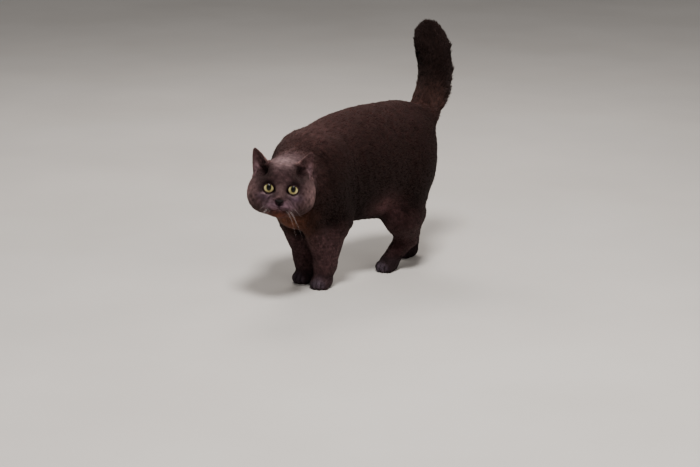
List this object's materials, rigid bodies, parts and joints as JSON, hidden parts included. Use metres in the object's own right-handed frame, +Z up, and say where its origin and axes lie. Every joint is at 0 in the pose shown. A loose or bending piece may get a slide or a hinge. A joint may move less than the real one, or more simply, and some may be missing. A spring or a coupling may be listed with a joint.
{
  "type": "cat",
  "caption": "Life-size still model of a stocky short-haired cat standing in mid-step, back arched, thick tail raised, head low and turned to its left.",
  "frame": {"origin": "on the floor under the middle of the whole object's bounding box", "axes": "+Z up, -Y the way the body faces, +X the cat's left side, which its head turns to"},
  "size_m": [0.1734, 0.495, 0.4424],
  "materials": {
    "coat_body": "dense short charcoal-brown fur, matt with a faint sheen",
    "coat_head": "very short blue-grey fur, matt",
    "coat_legs": "short charcoal fur, matt",
    "coat_tail": "thick bristling dark fur, matt",
    "coat_ear": "fine short fur over thin skin, matt",
    "iris": "wet gloss over a yellow-green iris and a round black pupil",
    "nose_leather": "fine pebbled damp skin"
  },
  "bodies": {
    "root": {"ear_left": "coat_ear", "ear_right": "coat_ear", "eye_left": "iris", "eye_right": "iris", "foreleg_left": "coat_legs", "foreleg_right": "coat_legs", "forepaw_left": "coat_legs", "forepaw_right": "coat_legs", "head": "coat_head", "hindleg_left": "coat_legs", "hindleg_right": "coat_legs", "hindpaw_left": "coat_legs", "hindpaw_right": "coat_legs", "neck": "coat_body", "nose": "nose_leather", "tail": "coat_tail", "trunk": "coat_body"}
  },
  "joints": []
}
